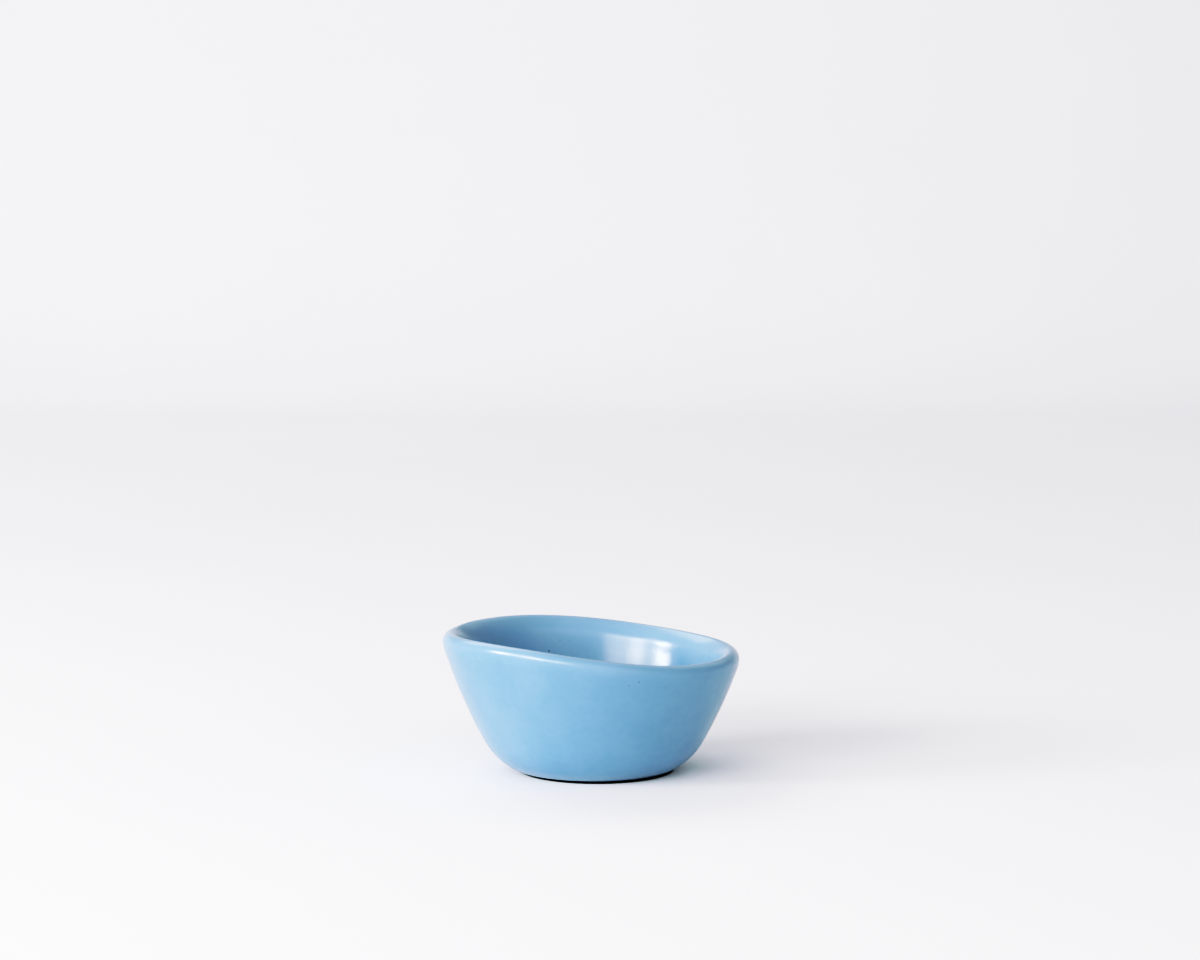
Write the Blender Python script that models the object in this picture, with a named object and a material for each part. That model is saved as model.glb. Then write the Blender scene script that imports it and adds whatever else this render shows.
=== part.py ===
"""A handmade ramekin: one turned clay body under one coat of glaze, with a rim left out of true.

Units are metres and +Z is up. The table is at z = 0 and the rim is centred over the origin.
Seen from the front, looking along +Y, the rim stands highest on the left, towards -X.
"""
import math

import bmesh
import bpy

# Outside of the glazed bowl, as turned
RIM_RADIUS = 0.0500
RIM_HEIGHT = 0.0440
LIP_RADIUS = 0.0028
SHOULDER_RADIUS = 0.0088
WALL_RADIUS = 0.1750
CORNER_RADIUS = 0.0209
CORNER_TURN = math.radians(66.0)
LOWER_EDGE_RADIUS = 0.0011
UNDERSIDE_RADIUS = 0.0265

# Inside of the glazed bowl, as turned: the lip is tight to a little past its top, then eases down
LIP_EASE_START = math.radians(40.0)
LIP_EASE_RADIUS = 0.0090
CAVITY_LEAN = math.radians(9.0)
CAVITY_WALL_RADIUS = 0.0550
CAVITY_CORNER_RADIUS = 0.0270
FLOOR_HEIGHT = 0.0068

# Coat of glaze, and the gap that keeps it a solid of its own
GLAZE_THICKNESS = 0.0005
BOND_GAP = 0.0003

# Bare foot ring, and the hollow trimmed out of the underside
FOOT_RADIUS = 0.0220
FOOT_HEIGHT = 0.0010
FOOT_RING_WIDTH = 0.0045
FOOT_EDGE_RADIUS = 0.0004
UNDERSIDE_HOLLOW = 0.0014

# How far the maker's hands left the bowl out of true, at the height of the rim
RIM_TILT = 0.00384
RIM_TILT_TOWARDS = math.radians(180.0)
RIM_SADDLE = 0.00072
RIM_SADDLE_TOWARDS = math.radians(65.5)
RIM_TRIPLE_WAVE = 0.00079
RIM_TRIPLE_WAVE_TOWARDS = math.radians(0.0)
RIM_OVAL = 0.0006
RIM_OVAL_TOWARDS = math.radians(90.0)
FOOT_OFF_CENTRE = 0.0009

# Fineness of the turned surfaces
TURN_STEPS = 60
LIP_STEPS = 6
LIP_EASE_STEPS = 3
SHOULDER_STEPS = 3
WALL_STEPS = 3
CORNER_STEPS = 4
LOWER_EDGE_STEPS = 2
CAVITY_WALL_STEPS = 4
CAVITY_CORNER_STEPS = 5
FOOT_EDGE_STEPS = 2
MERGE_DISTANCE = 1e-7
SHARP_ANGLE = math.radians(40.0)

CLAY_COLOUR = (0.60, 0.50, 0.40)
CLAY_ROUGHNESS = 0.85
GLAZE_COLOUR = (0.27, 0.52, 0.69)
GLAZE_ROUGHNESS = 0.12

QUARTER_TURN = math.radians(90.0)


def arc(centre, radius, start, end, steps):
    """Points along a circle of the section, each a radius from the axis and a height."""
    angles = [start + (end - start) * step / steps for step in range(steps + 1)]
    return [(centre[0] + radius * math.cos(a), centre[1] + radius * math.sin(a)) for a in angles]


def lean(centre, touching_centre):
    """How far below level the line leans that runs out through two arcs' centres to where they touch."""
    return math.atan2(centre[1] - touching_centre[1], touching_centre[0] - centre[0])


def wall_arc_centre(shoulder_centre, corner_centre):
    """Centre of the long arc of the outside wall, which runs into the shoulder arc and the corner arc."""
    to_shoulder = WALL_RADIUS - SHOULDER_RADIUS
    to_corner = WALL_RADIUS - CORNER_RADIUS
    apart = math.dist(shoulder_centre, corner_centre)
    across = (corner_centre[0] - shoulder_centre[0]) / apart
    down = (corner_centre[1] - shoulder_centre[1]) / apart
    along = (to_shoulder**2 - to_corner**2 + apart**2) / (2.0 * apart)
    aside = math.sqrt(to_shoulder**2 - along**2)
    return (
        shoulder_centre[0] + along * across + aside * down,
        shoulder_centre[1] + along * down - aside * across,
    )


def bowl_section(depth):
    """The bowl's section this deep under the glazed surface.

    It starts on the axis at the floor of the cavity, climbs the inside, rolls over the lip, comes
    down the outside and turns in at the lower edge, to where the glaze stops short of the foot.
    Every arc keeps its centre at any depth.
    """
    lip_centre = (RIM_RADIUS - LIP_RADIUS, RIM_HEIGHT - LIP_RADIUS)
    shoulder_centre = (RIM_RADIUS - SHOULDER_RADIUS, RIM_HEIGHT - LIP_RADIUS)
    lower_edge_centre = (UNDERSIDE_RADIUS, FOOT_HEIGHT + LOWER_EDGE_RADIUS)
    edge_to_corner = CORNER_RADIUS - LOWER_EDGE_RADIUS
    corner_centre = (
        lower_edge_centre[0] - edge_to_corner * math.cos(CORNER_TURN),
        lower_edge_centre[1] + edge_to_corner * math.sin(CORNER_TURN),
    )
    wall_centre = wall_arc_centre(shoulder_centre, corner_centre)
    shoulder_lean = lean(wall_centre, shoulder_centre)
    corner_lean = lean(wall_centre, corner_centre)

    lip_to_ease = LIP_EASE_RADIUS - LIP_RADIUS
    lip_ease_centre = (
        lip_centre[0] + lip_to_ease * math.sin(LIP_EASE_START),
        lip_centre[1] - lip_to_ease * math.cos(LIP_EASE_START),
    )
    ease_to_cavity = LIP_EASE_RADIUS + CAVITY_WALL_RADIUS
    cavity_wall_centre = (
        lip_ease_centre[0] - ease_to_cavity * math.cos(CAVITY_LEAN),
        lip_ease_centre[1] + ease_to_cavity * math.sin(CAVITY_LEAN),
    )
    between_centres = CAVITY_WALL_RADIUS - CAVITY_CORNER_RADIUS
    corner_centre_height = FLOOR_HEIGHT + CAVITY_CORNER_RADIUS
    cavity_turn = math.asin((cavity_wall_centre[1] - corner_centre_height) / between_centres)
    cavity_corner_centre = (
        cavity_wall_centre[0] + between_centres * math.cos(cavity_turn),
        corner_centre_height,
    )

    downwards = -QUARTER_TURN
    cavity_top = math.pi - CAVITY_LEAN
    lip_ease_top = QUARTER_TURN + LIP_EASE_START
    arcs = (
        (cavity_corner_centre, CAVITY_CORNER_RADIUS + depth, downwards, -cavity_turn, CAVITY_CORNER_STEPS),
        (cavity_wall_centre, CAVITY_WALL_RADIUS + depth, -cavity_turn, -CAVITY_LEAN, CAVITY_WALL_STEPS),
        (lip_ease_centre, LIP_EASE_RADIUS - depth, cavity_top, lip_ease_top, LIP_EASE_STEPS),
        (lip_centre, LIP_RADIUS - depth, lip_ease_top, 0.0, LIP_STEPS),
        (shoulder_centre, SHOULDER_RADIUS - depth, 0.0, -shoulder_lean, SHOULDER_STEPS),
        (wall_centre, WALL_RADIUS - depth, -shoulder_lean, -corner_lean, WALL_STEPS),
        (corner_centre, CORNER_RADIUS - depth, -corner_lean, -CORNER_TURN, CORNER_STEPS),
        (lower_edge_centre, LOWER_EDGE_RADIUS - depth, -CORNER_TURN, downwards, LOWER_EDGE_STEPS),
    )
    points = [(0.0, FLOOR_HEIGHT - depth)]
    for centre, radius, start, end, steps in arcs:
        points += arc(centre, radius, start, end, steps)
    points.append((FOOT_RADIUS + BOND_GAP, FOOT_HEIGHT + depth))
    return points


def foot_section(top):
    """The bare foot's section, from the clay under the glaze down to the table and in to the axis."""
    hollow_radius = FOOT_RADIUS - FOOT_RING_WIDTH
    points = [(FOOT_RADIUS, top)]
    edge_centre = (FOOT_RADIUS - FOOT_EDGE_RADIUS, FOOT_EDGE_RADIUS)
    points += arc(edge_centre, FOOT_EDGE_RADIUS, 0.0, -QUARTER_TURN, FOOT_EDGE_STEPS)
    hollow_centre = (hollow_radius - UNDERSIDE_HOLLOW, 0.0)
    points += arc(hollow_centre, UNDERSIDE_HOLLOW, 0.0, QUARTER_TURN, FOOT_EDGE_STEPS)
    points.append((0.0, UNDERSIDE_HOLLOW))
    return points


def out_of_true(point):
    """Where the maker's hands leave a point of the true turned bowl. The foot stays flat and round."""
    lift = point.z / RIM_HEIGHT
    reach = math.hypot(point.x, point.y) / RIM_RADIUS
    bearing = math.atan2(point.y, point.x)
    rise = RIM_TILT * reach * math.cos(bearing - RIM_TILT_TOWARDS)
    rise += RIM_SADDLE * reach**2 * math.cos(2 * (bearing - RIM_SADDLE_TOWARDS))
    rise += RIM_TRIPLE_WAVE * reach**3 * math.cos(3 * (bearing - RIM_TRIPLE_WAVE_TOWARDS))
    widen = 1.0 + lift * RIM_OVAL / RIM_RADIUS * math.cos(2 * (bearing - RIM_OVAL_TOWARDS))
    return (
        point.x * widen + FOOT_OFF_CENTRE * (1.0 - lift),
        point.y * widen,
        point.z + rise * lift,
    )


def turned_piece(name, section, material, parent):
    """Turn an open section, both ends on the axis or joined up, round the axis into one closed solid."""
    bm = bmesh.new()
    verts = [bm.verts.new((radius, 0.0, height)) for radius, height in section]
    edges = [bm.edges.new(pair) for pair in zip(verts, verts[1:])]
    bmesh.ops.spin(
        bm,
        geom=verts + edges,
        cent=(0.0, 0.0, 0.0),
        axis=(0.0, 0.0, 1.0),
        angle=math.tau,
        steps=TURN_STEPS,
        use_merge=True,
    )
    bmesh.ops.remove_doubles(bm, verts=bm.verts, dist=MERGE_DISTANCE)
    for vert in bm.verts:
        vert.co = out_of_true(vert.co)
    bmesh.ops.recalc_face_normals(bm, faces=bm.faces)

    mesh = bpy.data.meshes.new(name)
    bm.to_mesh(mesh)
    bm.free()
    mesh.shade_smooth()
    mesh.set_sharp_from_angle(angle=SHARP_ANGLE)
    mesh.materials.append(material)
    piece = bpy.data.objects.new(name, mesh)
    piece.parent = parent
    bpy.context.collection.objects.link(piece)
    return piece


def plain_material(name, colour, roughness):
    """A non-metal material of one colour."""
    material = bpy.data.materials.new(name)
    material.use_nodes = True
    shader = material.node_tree.nodes["Principled BSDF"]
    shader.inputs["Base Color"].default_value = (*colour, 1.0)
    shader.inputs["Roughness"].default_value = roughness
    shader.inputs["Metallic"].default_value = 0.0
    return material


def build_clay_body(parent):
    """The fired clay: bowl wall, floor and foot ring. Only the foot and the underside are bare."""
    section = bowl_section(GLAZE_THICKNESS + BOND_GAP)
    section += foot_section(section[-1][1])
    material = plain_material("bare_clay", CLAY_COLOUR, CLAY_ROUGHNESS)
    return turned_piece("clay_body", section, material, parent)


def build_glaze_coat(parent):
    """The glaze: a skin over the cavity, the lip and the outside, ending beside the foot."""
    section = bowl_section(0.0) + bowl_section(GLAZE_THICKNESS)[::-1]
    material = plain_material("blue_glaze", GLAZE_COLOUR, GLAZE_ROUGHNESS)
    return turned_piece("glaze_coat", section, material, parent)


def main():
    for old in list(bpy.data.objects):
        bpy.data.objects.remove(old, do_unlink=True)
    ramekin = bpy.data.objects.new("ramekin", None)
    bpy.context.collection.objects.link(ramekin)
    build_clay_body(ramekin)
    build_glaze_coat(ramekin)


main()
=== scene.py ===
# %% [markdown]
# # A handmade ramekin in pale blue glaze
#
# The object is a small baking dish: one turned clay body under one coat of glossy glaze, with a
# rim that the maker's hands left tilted. Its solid model is loaded as a fixed frame. The lesson
# turns a finer surface for both pieces, gives them their finishes, and then sets up a paper cove,
# window light and a camera.

# %% Load the frame
import math

import bmesh
import bpy
from mathutils import Euler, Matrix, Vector, noise


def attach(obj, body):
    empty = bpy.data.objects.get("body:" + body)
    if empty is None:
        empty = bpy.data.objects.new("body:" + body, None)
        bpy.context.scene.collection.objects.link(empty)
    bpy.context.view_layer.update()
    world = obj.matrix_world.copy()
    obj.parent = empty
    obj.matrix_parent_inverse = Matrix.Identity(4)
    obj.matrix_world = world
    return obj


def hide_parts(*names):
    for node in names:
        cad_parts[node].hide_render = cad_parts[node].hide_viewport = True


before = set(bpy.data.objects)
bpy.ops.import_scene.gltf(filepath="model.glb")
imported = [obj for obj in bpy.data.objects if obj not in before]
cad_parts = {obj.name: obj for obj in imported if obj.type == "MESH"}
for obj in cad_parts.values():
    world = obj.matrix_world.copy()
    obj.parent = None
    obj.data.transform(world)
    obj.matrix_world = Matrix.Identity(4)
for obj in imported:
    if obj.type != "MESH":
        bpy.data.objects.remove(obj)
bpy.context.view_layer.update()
print("solids:", sorted(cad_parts))

# %% [markdown]
# ## The section of the bowl
#
# A bowl is turned, so its section says nearly everything about it. The section could be typed as
# a long list of points, but here it is drawn with a pencil: one vertex that is swept round a
# centre for each arc and extruded for each straight run. The lip eases down on the inside, a soft
# shoulder leads into a wall that bulges a little, and a rounder corner ends above the foot. Each
# arc keeps a centre of its own, so the same arcs can be drawn again a little deeper for the clay
# under the glaze.

# %% Sizes of the bowl, in metres
RIM_RADIUS = 0.0500
RIM_HEIGHT = 0.0440
LIP_RADIUS = 0.0028
SHOULDER_RADIUS = 0.0088
WALL_RADIUS = 0.1750
CORNER_RADIUS = 0.0209
CORNER_TURN = math.radians(66.0)
LOWER_EDGE_RADIUS = 0.0011
UNDERSIDE_RADIUS = 0.0265
LIP_EASE_START = math.radians(40.0)
LIP_EASE_RADIUS = 0.0090
CAVITY_LEAN = math.radians(9.0)
CAVITY_WALL_RADIUS = 0.0550
CAVITY_CORNER_RADIUS = 0.0270
FLOOR_HEIGHT = 0.0068
GLAZE_THICKNESS = 0.0005
BOND_GAP = 0.0003
FOOT_RADIUS = 0.0220
FOOT_HEIGHT = 0.0010
FOOT_RING_WIDTH = 0.0045
FOOT_EDGE_RADIUS = 0.0004
UNDERSIDE_HOLLOW = 0.0014
QUARTER_TURN = math.radians(90.0)
print("rim", 2000 * RIM_RADIUS, "mm across and", 1000 * RIM_HEIGHT, "mm high")


# %% A pencil for sections
class Pencil:
    """Draws an open section in the XZ plane, one vertex after another."""

    def __init__(self, bm, radius, height):
        self.bm = bm
        self.tip = bm.verts.new((radius, 0.0, height))

    def line_to(self, radius, height, steps=1):
        """Extrude the tip along a straight run, in equal steps."""
        start = self.tip.co.copy()
        end = Vector((radius, 0.0, height))
        for step in range(1, steps + 1):
            made = bmesh.ops.extrude_vert_indiv(self.bm, verts=[self.tip])
            self.tip = made["verts"][0]
            self.tip.co = start.lerp(end, step / steps)

    def sweep(self, centre, angle, steps):
        """Spin the tip round a centre. A positive angle turns from +X towards +Z."""
        made = bmesh.ops.spin(
            self.bm,
            geom=[self.tip],
            cent=(centre[0], 0.0, centre[1]),
            axis=(0.0, -1.0, 0.0),
            angle=angle,
            steps=steps,
        )
        self.tip = next(part for part in made["geom_last"] if isinstance(part, bmesh.types.BMVert))


# %% Centres of the lip, the shoulder, the corner and the lower edge
def heading(angle):
    """A step of one metre in the section, turned from the outward level towards up."""
    return Vector((math.cos(angle), math.sin(angle)))


lip_centre = Vector((RIM_RADIUS - LIP_RADIUS, RIM_HEIGHT - LIP_RADIUS))
shoulder_centre = Vector((RIM_RADIUS - SHOULDER_RADIUS, RIM_HEIGHT - LIP_RADIUS))
lower_edge_centre = Vector((UNDERSIDE_RADIUS, FOOT_HEIGHT + LOWER_EDGE_RADIUS))
corner_centre = lower_edge_centre - (CORNER_RADIUS - LOWER_EDGE_RADIUS) * heading(-CORNER_TURN)
print("the corner's arc has its centre", round(1000 * corner_centre.y, 1), "mm above the table")

# %% Centre of the wall, which bulges a little and runs into the shoulder and the corner
to_shoulder = WALL_RADIUS - SHOULDER_RADIUS
to_corner = WALL_RADIUS - CORNER_RADIUS
down = corner_centre - shoulder_centre
along = (to_shoulder**2 - to_corner**2 + down.length**2) / (2.0 * down.length)
aside = math.sqrt(to_shoulder**2 - along**2)
down.normalize()
wall_centre = shoulder_centre + along * down + aside * Vector((down.y, -down.x))
shoulder_lean = math.atan2(wall_centre.y - shoulder_centre.y, shoulder_centre.x - wall_centre.x)
corner_lean = math.atan2(wall_centre.y - corner_centre.y, corner_centre.x - wall_centre.x)
leans = [round(math.degrees(lean), 1) for lean in (shoulder_lean, corner_lean)]
print("the wall leans", leans, "degrees")

# %% Centres inside: the lip easing down, the cavity's wall and its corner
lip_ease_top = QUARTER_TURN + LIP_EASE_START
cavity_top = math.pi - CAVITY_LEAN
lip_ease_centre = lip_centre - (LIP_EASE_RADIUS - LIP_RADIUS) * heading(lip_ease_top)
cavity_wall_centre = lip_ease_centre + (LIP_EASE_RADIUS + CAVITY_WALL_RADIUS) * heading(cavity_top)
between_centres = CAVITY_WALL_RADIUS - CAVITY_CORNER_RADIUS
above_corner = cavity_wall_centre.y - FLOOR_HEIGHT - CAVITY_CORNER_RADIUS
cavity_turn = math.asin(above_corner / between_centres)
cavity_corner_centre = cavity_wall_centre + between_centres * heading(-cavity_turn)
print("the cavity's floor is flat for", round(2000 * cavity_corner_centre.x, 1), "mm")


# %% The bowl's section at a depth under the glazed surface
def draw_bowl(bm, depth):
    """From the axis on the floor, up the inside, over the lip and down to the glaze's end."""
    pencil = Pencil(bm, 0.0, FLOOR_HEIGHT - depth)
    pencil.line_to(cavity_corner_centre.x, FLOOR_HEIGHT - depth, 4)
    pencil.sweep(cavity_corner_centre, QUARTER_TURN - cavity_turn, 20)
    pencil.sweep(cavity_wall_centre, cavity_turn - CAVITY_LEAN, 18)
    pencil.sweep(lip_ease_centre, lip_ease_top - cavity_top, 14)
    pencil.sweep(lip_centre, -lip_ease_top, 20)
    pencil.sweep(shoulder_centre, -shoulder_lean, 10)
    pencil.sweep(wall_centre, shoulder_lean - corner_lean, 16)
    pencil.sweep(corner_centre, corner_lean - CORNER_TURN, 18)
    pencil.sweep(lower_edge_centre, CORNER_TURN - QUARTER_TURN, 6)
    pencil.line_to(FOOT_RADIUS + BOND_GAP, FOOT_HEIGHT + depth)
    return pencil


# %% [markdown]
# ## Turning it, and the marks of the hand
#
# One full spin makes the bowl. A machine-made dish would be done now, but this one was finished
# by hand: the wall is softly uneven, which is what bends the window's reflection, and the rim is
# out of true. Both are moves of the vertices, so they show in the outline as well. The moves are
# made before and after the glaze gets its thickness, so that the skin keeps an even depth.

# %% Turn a section round the axis
TURN_STEPS = 288
MERGE_DISTANCE = 1e-7


def turn(bm):
    """Spin what is drawn once round the Z axis, and close the seam and the poles."""
    bmesh.ops.spin(
        bm,
        geom=bm.verts[:] + bm.edges[:],
        cent=(0.0, 0.0, 0.0),
        axis=(0.0, 0.0, 1.0),
        angle=math.tau,
        steps=TURN_STEPS,
        use_merge=True,
    )
    bmesh.ops.remove_doubles(bm, verts=bm.verts, dist=MERGE_DISTANCE)
    bmesh.ops.recalc_face_normals(bm, faces=bm.faces)


# %% Soft finger marks
MARK_DEPTH = 0.00016
MARK_SPREAD = 0.013
MARKS_START = 0.003


def press_marks(bm):
    """Press the surface in by up to the depth of a mark. The foot isn't touched."""
    bm.normal_update()
    pressed = {}
    for vert in bm.verts:
        wave = 0.5 + 0.5 * noise.noise(vert.co / MARK_SPREAD)
        above_foot = min(1.0, max(0.0, vert.co.z / MARKS_START - 1.0))
        pressed[vert] = vert.co - vert.normal * (MARK_DEPTH * wave * above_foot)
    for vert, place in pressed.items():
        vert.co = place


# %% A rim out of true
RIM_TILT = 0.00384
RIM_TILT_TOWARDS = math.radians(180.0)
RIM_SADDLE = 0.00072
RIM_SADDLE_TOWARDS = math.radians(65.5)
RIM_TRIPLE_WAVE = 0.00079
RIM_OVAL = 0.0006
RIM_OVAL_TOWARDS = math.radians(90.0)
FOOT_OFF_CENTRE = 0.0009


def leave_out_of_true(bm):
    """Lift and pull every vertex as the maker's hands did: most at the rim, not at the foot."""
    for vert in bm.verts:
        x, y, z = vert.co
        lift = z / RIM_HEIGHT
        reach = math.hypot(x, y) / RIM_RADIUS
        bearing = math.atan2(y, x)
        rise = RIM_TILT * reach * math.cos(bearing - RIM_TILT_TOWARDS)
        rise += RIM_SADDLE * reach**2 * math.cos(2 * (bearing - RIM_SADDLE_TOWARDS))
        rise += RIM_TRIPLE_WAVE * reach**3 * math.cos(3 * bearing)
        widen = 1.0 + lift * RIM_OVAL / RIM_RADIUS * math.cos(2 * (bearing - RIM_OVAL_TOWARDS))
        vert.co = (x * widen + FOOT_OFF_CENTRE * (1.0 - lift), y * widen, z + rise * lift)


# %% Keep where the glaze is made pale: thin glaze, and painted light
# Paleness over the lip is thin glaze and painted light; inside and above the foot it is painted
# light.
PALE_OUTSIDE_LIP = 0.0040
PALE_INSIDE_LIP = 0.0120
PALE_ABOVE_FOOT = 0.0040
OUTSIDE_LIP_SHARE = 0.35
INSIDE_LIP_SHARE = 0.60
ABOVE_FOOT_SHARE = 0.50


def mark_thin_glaze_and_painted_light(bm):
    """Store how pale the glaze is made on every vertex, from 0 to 1.

    It is pale over the lip, where the glaze runs thin and light is also painted, further down on
    the inside, where it is painted light on the inner wall, and above the foot, where it is a
    painted reflection of the floor.
    """
    bm.normal_update()
    layer = bm.verts.layers.float.new("thin_glaze_and_painted_light")
    for vert in bm.verts:
        outwards = vert.normal.xy.dot(vert.co.xy.normalized())
        below_rim = RIM_HEIGHT - vert.co.z
        outer_lip = OUTSIDE_LIP_SHARE * max(0.0, 1.0 - below_rim / PALE_OUTSIDE_LIP)
        inner_lip = INSIDE_LIP_SHARE * max(0.0, 1.0 - below_rim / PALE_INSIDE_LIP)
        lip = outer_lip + (inner_lip - outer_lip) * (0.5 - 0.5 * outwards)
        near_foot = min(1.0, max(0.0, 2.0 - 2.0 * vert.co.z / PALE_ABOVE_FOOT))
        vert[layer] = max(lip, ABOVE_FOOT_SHARE * near_foot)


# %% Make an object of a mesh
SHARP_ANGLE = math.radians(40.0)


def open_edges(bm):
    """Count the edges that don't lie between two faces. A closed skin has none."""
    return sum(1 for edge in bm.edges if len(edge.link_faces) != 2)


def as_piece(name, bm, material):
    """Turn the bmesh into a smooth-shaded object with its finish."""
    mesh = bpy.data.meshes.new(name)
    bm.to_mesh(mesh)
    bm.free()
    mesh.shade_smooth()
    mesh.set_sharp_from_angle(angle=SHARP_ANGLE)
    mesh.materials.append(material)
    piece = bpy.data.objects.new(name, mesh)
    bpy.context.scene.collection.objects.link(piece)
    triangles = sum(len(face.vertices) - 2 for face in mesh.polygons)
    print(name, triangles, "triangles")
    return piece


# %% [markdown]
# ## A bench for finishes
#
# Each finish is a small tree of nodes. Adding the nodes by hand takes many lines, so one helper
# adds a node, sets its options and feeds its sockets, from a plain value or from another socket.
# All patterns read Object coordinates in metres, so a scale of 60 gives patches of about 17 mm.

# %% The bench
class Finish:
    """A material under construction, with its shader and its Object coordinates at hand."""

    def __init__(self, name):
        self.material = bpy.data.materials.new(name)
        self.material.use_nodes = True
        self.tree = self.material.node_tree
        self.shader = self.tree.nodes["Principled BSDF"]
        self.place = self.add("ShaderNodeTexCoord").outputs["Object"]

    def feed(self, socket, value):
        """Link another socket, or set a plain value."""
        if isinstance(value, bpy.types.NodeSocket):
            self.tree.links.new(value, socket)
        else:
            socket.default_value = value

    def add(self, kind, inputs=None, **options):
        """Add a node, set its options and feed its sockets."""
        node = self.tree.nodes.new(kind)
        for option, value in options.items():
            setattr(node, option, value)
        for name, value in (inputs or {}).items():
            self.feed(node.inputs[name], value)
        return node

    def patches(self, scale, detail=2.0, place=None):
        """Cloudy noise, from 0 to 1 and mostly near 0.5."""
        vector = self.place if place is None else place
        cloud = self.add("ShaderNodeTexNoise", {"Vector": vector, "Scale": scale, "Detail": detail})
        return cloud.outputs["Fac"]

    def span(self, value, low, high, new_low=0.0, new_high=1.0):
        """Stretch a range of values to another one, and hold it at the ends."""
        inputs = {"Value": value, "From Min": low, "From Max": high}
        inputs.update({"To Min": new_low, "To Max": new_high})
        return self.add("ShaderNodeMapRange", inputs, clamp=True).outputs["Result"]

    def calculate(self, operation, first, second):
        """One step of arithmetic."""
        node = self.add("ShaderNodeMath", operation=operation)
        self.feed(node.inputs[0], first)
        self.feed(node.inputs[1], second)
        return node.outputs["Value"]

    def blend(self, share, first, second):
        """Mix two colours."""
        mix = self.add("ShaderNodeMix", data_type="RGBA")
        for index, value in ((0, share), (6, first), (7, second)):
            self.feed(mix.inputs[index], value)
        return mix.outputs[2]

    def spot(self, centre, core, edge, strength=1.0):
        """One round spot: at full strength within the core, and gone at the edge."""
        away = self.add("ShaderNodeVectorMath", operation="DISTANCE")
        self.feed(away.inputs[0], self.place)
        self.feed(away.inputs[1], centre)
        return self.span(away.outputs["Value"], core, edge, strength, 0.0)

    def dots(self, scale, core, edge, strength, above):
        """A dot in some cells of a pattern: those whose random red lies above a value."""
        cells = self.add("ShaderNodeTexVoronoi", {"Vector": self.place, "Scale": scale})
        dot = self.span(cells.outputs["Distance"], core, edge, strength, 0.0)
        picked = self.add("ShaderNodeSeparateColor", {"Color": cells.outputs["Color"]})
        chosen = self.calculate("GREATER_THAN", picked.outputs["Red"], above)
        return self.calculate("MULTIPLY", dot, chosen)

    def relief(self, height, distance):
        """Send a height to the shader's normal."""
        bump = self.add("ShaderNodeBump", {"Height": height, "Distance": distance})
        self.feed(self.shader.inputs["Normal"], bump.outputs["Normal"])


# %% [markdown]
# ## Blue glaze
#
# The glaze is a pale sky blue with a soft gloss. Looked at closely it is cloudy: it pools in faint
# patches, turns paler where it runs thin over the lip, and holds a few dark specks of iron. The
# same
# paleness is also painted light: further down the inside it paints the light on the inner wall, and
# above the foot it is a painted reflection of the floor. One flat colour would look like plastic,
# so patches of two sizes, streaks that follow the turning, the pale places and the specks are laid
# over each other.
# Its skin is not quite flat either, and a slight relief stands for that.

# %% Colours, patterns and specks of the glaze
GLAZE_DEEP = (0.125, 0.234, 0.374, 1.0)
GLAZE_PALE = (0.151, 0.263, 0.412, 1.0)
# Partly thin glaze, partly painted light: the light on the inner wall and the floor's reflection
# above the foot.
GLAZE_THIN_AND_PAINTED_LIGHT = (0.238, 0.356, 0.498, 1.0)
IRON_SPECK = (0.035, 0.040, 0.045, 1.0)

# Patterns, as repeats to a metre, and their shares in the clouding
POOLS_SCALE = 62.0
POOLS_SHARE = 0.65
MOTTLE_SCALE = 420.0
MOTTLE_SHARE = 0.25
STREAKS_SCALE = (25.0, 25.0, 420.0)
STREAKS_SHARE = 0.10
SKIN_SCALE = 330.0
SKIN_RELIEF = 0.00004
GLAZE_SMOOTHEST = 0.19
GLAZE_ROUGHEST = 0.25

# Rare specks anywhere: cells to a metre, radii in cells, strength, and how few cells have one
RARE_SPECKS = {"scale": 170.0, "core": 0.03, "edge": 0.06, "strength": 0.35, "above": 0.90}

# Specks that stand out, each a place on the bowl, its radius in metres and its strength
PLAIN_SPECKS = (
    ((-0.0148, 0.0388, 0.0338), 0.00044, 0.80),
    ((-0.0110, 0.0409, 0.0370), 0.00036, 0.30),
    ((-0.0075, 0.0417, 0.0369), 0.00036, 0.25),
    ((0.0153, -0.0476, 0.0371), 0.00036, 0.50),
    ((0.0122, -0.0480, 0.0361), 0.00032, 0.35),
)


# %% Specks in the glaze
def speck_cover(finish):
    """How much of a dark speck lies at each place: the rare ones, then those that stand out."""
    cover = finish.dots(**RARE_SPECKS)
    for place, radius, strength in PLAIN_SPECKS:
        dot = finish.spot(place, 0.5 * radius, radius, strength)
        cover = finish.calculate("MAXIMUM", cover, dot)
    return cover


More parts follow.
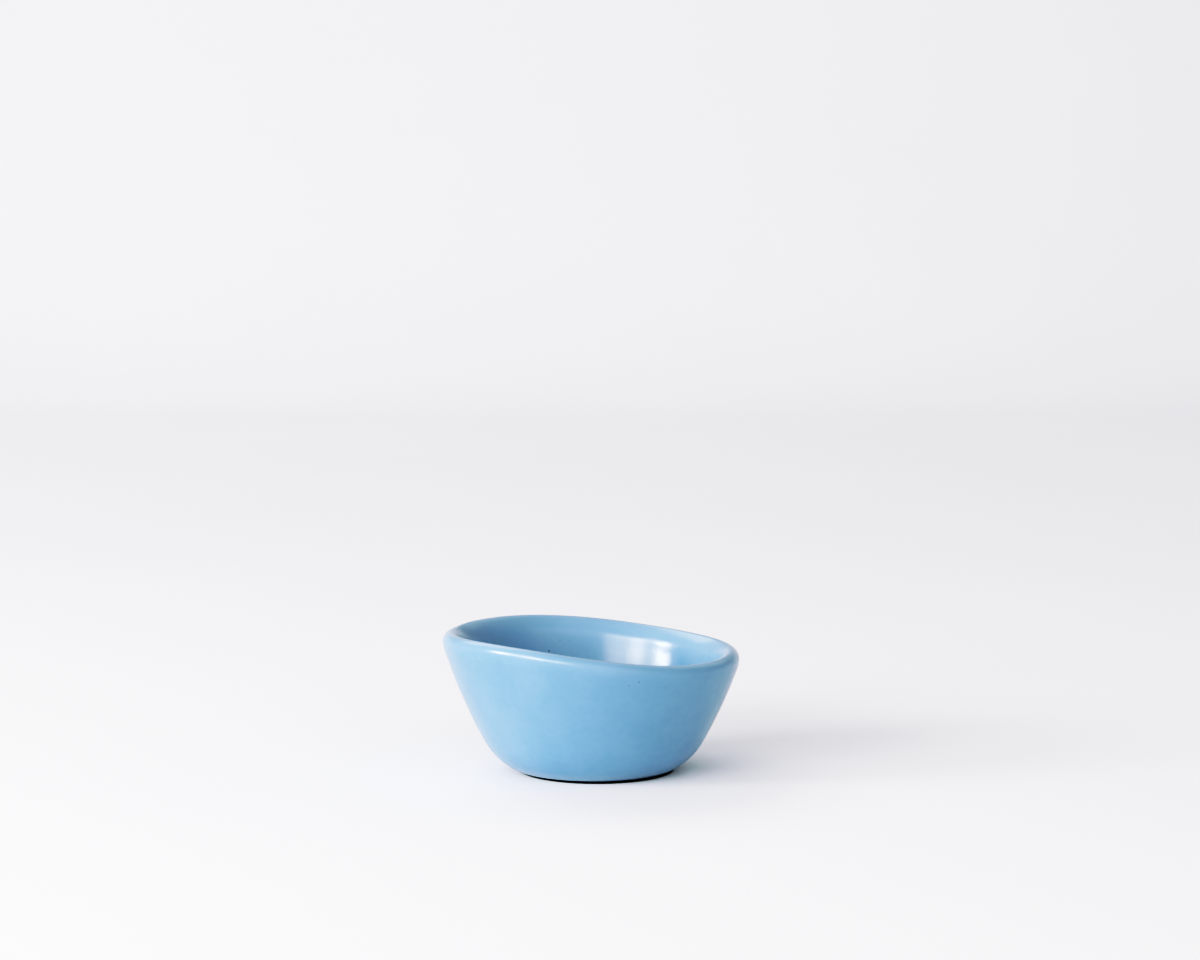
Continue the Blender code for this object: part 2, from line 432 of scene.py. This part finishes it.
# %% Mix the glaze
def mix_blue_glaze():
    """Clouds first, then the pale places with their painted light, and the specks over them."""
    glaze = Finish("blue_glaze")
    pools = glaze.patches(POOLS_SCALE, detail=3.0)
    mottle = glaze.patches(MOTTLE_SCALE)
    flat_place = glaze.add("ShaderNodeMapping", {"Vector": glaze.place, "Scale": STREAKS_SCALE})
    streaks = glaze.patches(1.0, place=flat_place.outputs["Vector"])
    cloud = glaze.calculate("MULTIPLY", mottle, MOTTLE_SHARE)
    cloud = glaze.calculate("ADD", cloud, glaze.calculate("MULTIPLY", pools, POOLS_SHARE))
    cloud = glaze.calculate("ADD", cloud, glaze.calculate("MULTIPLY", streaks, STREAKS_SHARE))
    colour = glaze.blend(glaze.span(cloud, 0.35, 0.65), GLAZE_DEEP, GLAZE_PALE)
    # Paler where the glaze runs thin, with painted light inside and a painted reflection above the
    # foot.
    pale_share = glaze.add("ShaderNodeAttribute", attribute_name="thin_glaze_and_painted_light").outputs["Fac"]
    colour = glaze.blend(pale_share, colour, GLAZE_THIN_AND_PAINTED_LIGHT)
    colour = glaze.blend(speck_cover(glaze), colour, IRON_SPECK)
    glaze.feed(glaze.shader.inputs["Base Color"], colour)
    roughness = glaze.span(pools, 0.3, 0.7, GLAZE_SMOOTHEST, GLAZE_ROUGHEST)
    glaze.feed(glaze.shader.inputs["Roughness"], roughness)
    skin = glaze.patches(SKIN_SCALE)
    skin = glaze.calculate("ADD", skin, glaze.calculate("MULTIPLY", streaks, 0.5))
    glaze.relief(skin, SKIN_RELIEF)
    return glaze.material


# %% Turn the glaze
glaze_bm = bmesh.new()
draw_bowl(glaze_bm, 0.0)
turn(glaze_bm)
press_marks(glaze_bm)
bmesh.ops.solidify(glaze_bm, geom=glaze_bm.faces[:], thickness=GLAZE_THICKNESS)
mark_thin_glaze_and_painted_light(glaze_bm)
leave_out_of_true(glaze_bm)
print("open edges in the glaze:", open_edges(glaze_bm))
glaze_skin = as_piece("glaze_skin", glaze_bm, mix_blue_glaze())
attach(glaze_skin, "root")
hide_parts("glaze_coat")

# %% [markdown]
# ## Bare clay
#
# Under the glaze is the fired clay. Only its foot ring and the hollow underneath are bare, and the
# photograph shows no more of them than a dark line above the table. The clay is given a dark brown,
# partly its own colour and partly painted shade, so that the foot reads as that dark line; iron in
# it would also explain the specks. It is drawn with the same pencil, deeper by the glaze and the
# gap, and goes on round the foot to the axis.

# %% Mix the clay
# Both clay colours are darkened as painted shade, so the foot in the gap under the glaze stays
# dark.
CLAY_BROWN_AND_PAINTED_SHADE = (0.20, 0.145, 0.105, 1.0)
CLAY_TOASTED_AND_PAINTED_SHADE = (0.28, 0.21, 0.155, 1.0)
CLAY_GRIT = (0.06, 0.045, 0.035, 1.0)
BODY_SCALE = 140.0
GRIT_GRAINS = {"scale": 900.0, "core": 0.12, "edge": 0.22, "strength": 0.8, "above": 0.6}
GRAIN_SCALE = 1500.0
GRAIN_RELIEF = 0.0001
CLAY_SMOOTHEST = 0.80
CLAY_ROUGHEST = 0.92


def mix_bare_clay():
    """A brown body with toasted patches and dark grit, darkened as painted shade for the gap under
    the glaze.
    """
    clay = Finish("bare_clay")
    body = clay.span(clay.patches(BODY_SCALE, detail=4.0), 0.35, 0.65)
    colour = clay.blend(body, CLAY_BROWN_AND_PAINTED_SHADE, CLAY_TOASTED_AND_PAINTED_SHADE)
    colour = clay.blend(clay.dots(**GRIT_GRAINS), colour, CLAY_GRIT)
    clay.feed(clay.shader.inputs["Base Color"], colour)
    roughness = clay.span(body, 0.0, 1.0, CLAY_SMOOTHEST, CLAY_ROUGHEST)
    clay.feed(clay.shader.inputs["Roughness"], roughness)
    clay.relief(clay.patches(GRAIN_SCALE, detail=4.0), GRAIN_RELIEF)
    return clay.material


# %% Turn the clay body
clay_bm = bmesh.new()
clay_depth = GLAZE_THICKNESS + BOND_GAP
pencil = draw_bowl(clay_bm, clay_depth)
pencil.line_to(FOOT_RADIUS, FOOT_HEIGHT + clay_depth)
pencil.line_to(FOOT_RADIUS, FOOT_EDGE_RADIUS, 3)
pencil.sweep((FOOT_RADIUS - FOOT_EDGE_RADIUS, FOOT_EDGE_RADIUS), -QUARTER_TURN, 5)
hollow_radius = FOOT_RADIUS - FOOT_RING_WIDTH
pencil.line_to(hollow_radius, 0.0, 3)
pencil.sweep((hollow_radius - UNDERSIDE_HOLLOW, 0.0), QUARTER_TURN, 8)
pencil.line_to(0.0, UNDERSIDE_HOLLOW, 4)
turn(clay_bm)
press_marks(clay_bm)
leave_out_of_true(clay_bm)
print("open edges in the clay:", open_edges(clay_bm))
clay_body = as_piece("clay_foot_and_body", clay_bm, mix_bare_clay())
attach(clay_body, "root")
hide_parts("clay_body")

# %% [markdown]
# ## A paper cove
#
# The photograph has no horizon: pale paper lies under the bowl and curves up behind it. A curved
# strip would do for that one view. A shallow box with a wide rounded edge shows the same pale
# paper from every side, and its low walls let the window's light in over the top. The gap under
# the bowl is nearly black in the photograph and fades towards the window, so a painted shadow
# darkens the paper where the bowl covers it, reaching a little further out on the side away from
# the window.

# %% Mix the paper
PAPER_COOL = (0.850, 0.850, 0.868, 1.0)
PAPER_WHITE = (0.870, 0.870, 0.880, 1.0)
# A painted shadow: the paper is near black under the bowl, where the gap's shade falls.
PAINTED_SHADOW_UNDER_BOWL = (0.010, 0.011, 0.013, 1.0)
PAINTED_SHADOW_CENTRE = (FOOT_OFF_CENTRE + 0.0010, 0.0, 0.0)
PAINTED_SHADOW_RADIUS = UNDERSIDE_RADIUS - 0.0002
PAINTED_SHADOW_SOFT_EDGE = 0.0010
PAPER_PATCH_SCALE = 2.5


def mix_pale_paper():
    """Dull pale paper with wide, faint patches, and a painted shadow under the bowl."""
    paper = Finish("pale_paper")
    patch = paper.span(paper.patches(PAPER_PATCH_SCALE), 0.3, 0.7)
    colour = paper.blend(patch, PAPER_COOL, PAPER_WHITE)
    # Paint the shadow under the bowl, set off centre away from the window.
    painted_shadow = paper.spot(PAINTED_SHADOW_CENTRE, PAINTED_SHADOW_RADIUS - PAINTED_SHADOW_SOFT_EDGE, PAINTED_SHADOW_RADIUS)
    paper.feed(paper.shader.inputs["Base Color"], paper.blend(painted_shadow, colour, PAINTED_SHADOW_UNDER_BOWL))
    paper.shader.inputs["Roughness"].default_value = 1.0
    paper.shader.inputs["Specular IOR Level"].default_value = 0.0
    return paper.material


# %% Fold the cove
COVE_HALF_WIDTH = 2.4
COVE_HEIGHT = 0.55
COVE_CURVE = 0.5
COVE_CURVE_STEPS = 16
COVE_MERGE_DISTANCE = 1e-5
cove_bm = bmesh.new()
bmesh.ops.create_grid(cove_bm, x_segments=1, y_segments=1, size=COVE_HALF_WIDTH)
floor_edges = cove_bm.edges[:]
walls = bmesh.ops.extrude_edge_only(cove_bm, edges=floor_edges)["geom"]
top = [part for part in walls if isinstance(part, bmesh.types.BMVert)]
bmesh.ops.translate(cove_bm, verts=top, vec=(0.0, 0.0, COVE_HEIGHT))
folds = [edge for edge in cove_bm.edges if len(edge.link_faces) == 2]
bmesh.ops.bevel(
    cove_bm,
    geom=folds,
    offset=COVE_CURVE,
    offset_type="OFFSET",
    affect="EDGES",
    segments=COVE_CURVE_STEPS,
    profile=0.5,
    material=-1,
)
bmesh.ops.remove_doubles(cove_bm, verts=cove_bm.verts, dist=COVE_MERGE_DISTANCE)
bmesh.ops.recalc_face_normals(cove_bm, faces=cove_bm.faces)
paper_cove = as_piece("paper_cove", cove_bm, mix_pale_paper())

# %% [markdown]
# ## Window light
#
# The reflection inside the bowl shows where the light comes from: a low window on the left and a
# little in front, with two bright panes behind a thin curtain. The pale line on the front of the
# lip is the same window. Rectangles of light stand for the panes, the curtain and the window's
# reveal, larger and weaker ones for the pale walls of the room, and a dim world fills what is
# left.

# %% A rectangle of light
LIGHT_AIM = Vector((0.0, 0.0, 0.03))


def light_panel(name, azimuth, elevation, width, height, distance, radiance):
    """A rectangle of light aimed at the bowl. Place and size are angles as seen from the bowl."""
    around, over = math.radians(azimuth), math.radians(elevation)
    level = math.cos(over)
    towards = Vector((level * math.cos(around), level * math.sin(around), math.sin(over)))
    lamp = bpy.data.lights.new(name, "AREA")
    lamp.shape = "RECTANGLE"
    lamp.size = 2.0 * distance * math.tan(math.radians(width / 2.0))
    lamp.size_y = 2.0 * distance * math.tan(math.radians(height / 2.0))
    lamp.energy = radiance * math.pi * lamp.size * lamp.size_y
    panel = bpy.data.objects.new(name, lamp)
    panel.location = LIGHT_AIM + distance * towards
    panel.rotation_euler = (-towards).to_track_quat("-Z", "Y").to_euler()
    panel.visible_camera = False
    bpy.context.scene.collection.objects.link(panel)
    print(name, round(lamp.size, 2), "x", round(lamp.size_y, 2), "m,", round(lamp.energy), "W")


# %% Light the bowl: the window, then the pale walls that send its light back
WINDOW_DISTANCE = 1.7
WALL_DISTANCE = 3.0
light_panel("window_right_pane", -162.5, 13.0, 14.0, 14.0, WINDOW_DISTANCE, 20.0)
light_panel("window_left_pane", -133.0, 16.0, 14.0, 18.0, WINDOW_DISTANCE, 8.5)
light_panel("window_curtain", -141.5, 18.5, 55.0, 23.0, WINDOW_DISTANCE, 4.7)
light_panel("window_reveal", -108.0, 20.0, 12.0, 26.0, WINDOW_DISTANCE, 3.6)
light_panel("left_wall", 165.0, 12.0, 50.0, 20.0, WALL_DISTANCE, 0.2)
light_panel("left_back_wall", 125.0, 45.0, 40.0, 32.0, WALL_DISTANCE, 1.6)
light_panel("back_wall", 75.0, 45.0, 50.0, 40.0, WALL_DISTANCE, 0.35)
light_panel("front_wall", -74.0, 28.0, 84.0, 32.0, WALL_DISTANCE, 0.68)

# %% Fill what is left with a dim room
ROOM_COLOUR = (0.98, 0.985, 1.02, 1.0)
ROOM_STRENGTH = 0.33
room = bpy.data.worlds.new("dim_room")
room.use_nodes = True
background = room.node_tree.nodes["Background"]
background.inputs["Color"].default_value = ROOM_COLOUR
background.inputs["Strength"].default_value = ROOM_STRENGTH
bpy.context.scene.world = room
print("room at a strength of", ROOM_STRENGTH)

# %% [markdown]
# ## The camera and its tones
#
# The camera looks down on the rim from the front with a long lens, so the bowl sits low in a wide
# pale frame. Its picture has a camera's tone curve: the shades are deeper and the lights roll off
# before white. The same curve in Blender's colour management keeps the paper pale and the blue
# clear, where a straight response would wash out the shaded side. A slight lift in the green keeps
# the deep shades from turning violet.

# %% Set the camera
CAMERA_PLACE = (0.0030, -0.8814, 0.1745)
CAMERA_PITCH = math.radians(5.023)
SENSOR_WIDTH = 36.0
LENS = 80.0
camera_data = bpy.data.cameras.new("camera")
camera_data.sensor_width = SENSOR_WIDTH
camera_data.lens = LENS
camera = bpy.data.objects.new("camera", camera_data)
camera.location = CAMERA_PLACE
camera.rotation_euler = Euler((QUARTER_TURN - CAMERA_PITCH, 0.0, 0.0))
bpy.context.scene.collection.objects.link(camera)
bpy.context.scene.camera = camera
print("camera with a lens of", LENS, "mm,", round(math.degrees(CAMERA_PITCH), 1), "degrees down")

# %% Set the tone curve
TONE_POINTS = ((0.06, 0.028), (0.14, 0.13), (0.30, 0.43), (0.476, 0.68), (0.673, 0.84))
TONE_WHITE = (1.0, 0.985)
GREEN_POINTS = ((0.15, 0.160), (0.24, 0.254), (0.34, 0.34))
view = bpy.context.scene.view_settings
view.view_transform = "Standard"
view.use_curve_mapping = True
tones = view.curve_mapping.curves[3]
greens = view.curve_mapping.curves[1]
for scene_value, shown_value in TONE_POINTS:
    tones.points.new(scene_value, shown_value)
tones.points[-1].location = TONE_WHITE
for toned_value, shown_value in GREEN_POINTS:
    greens.points.new(toned_value, shown_value)
view.curve_mapping.update()
print("tone curve of", len(tones.points), "points, green curve of", len(greens.points))
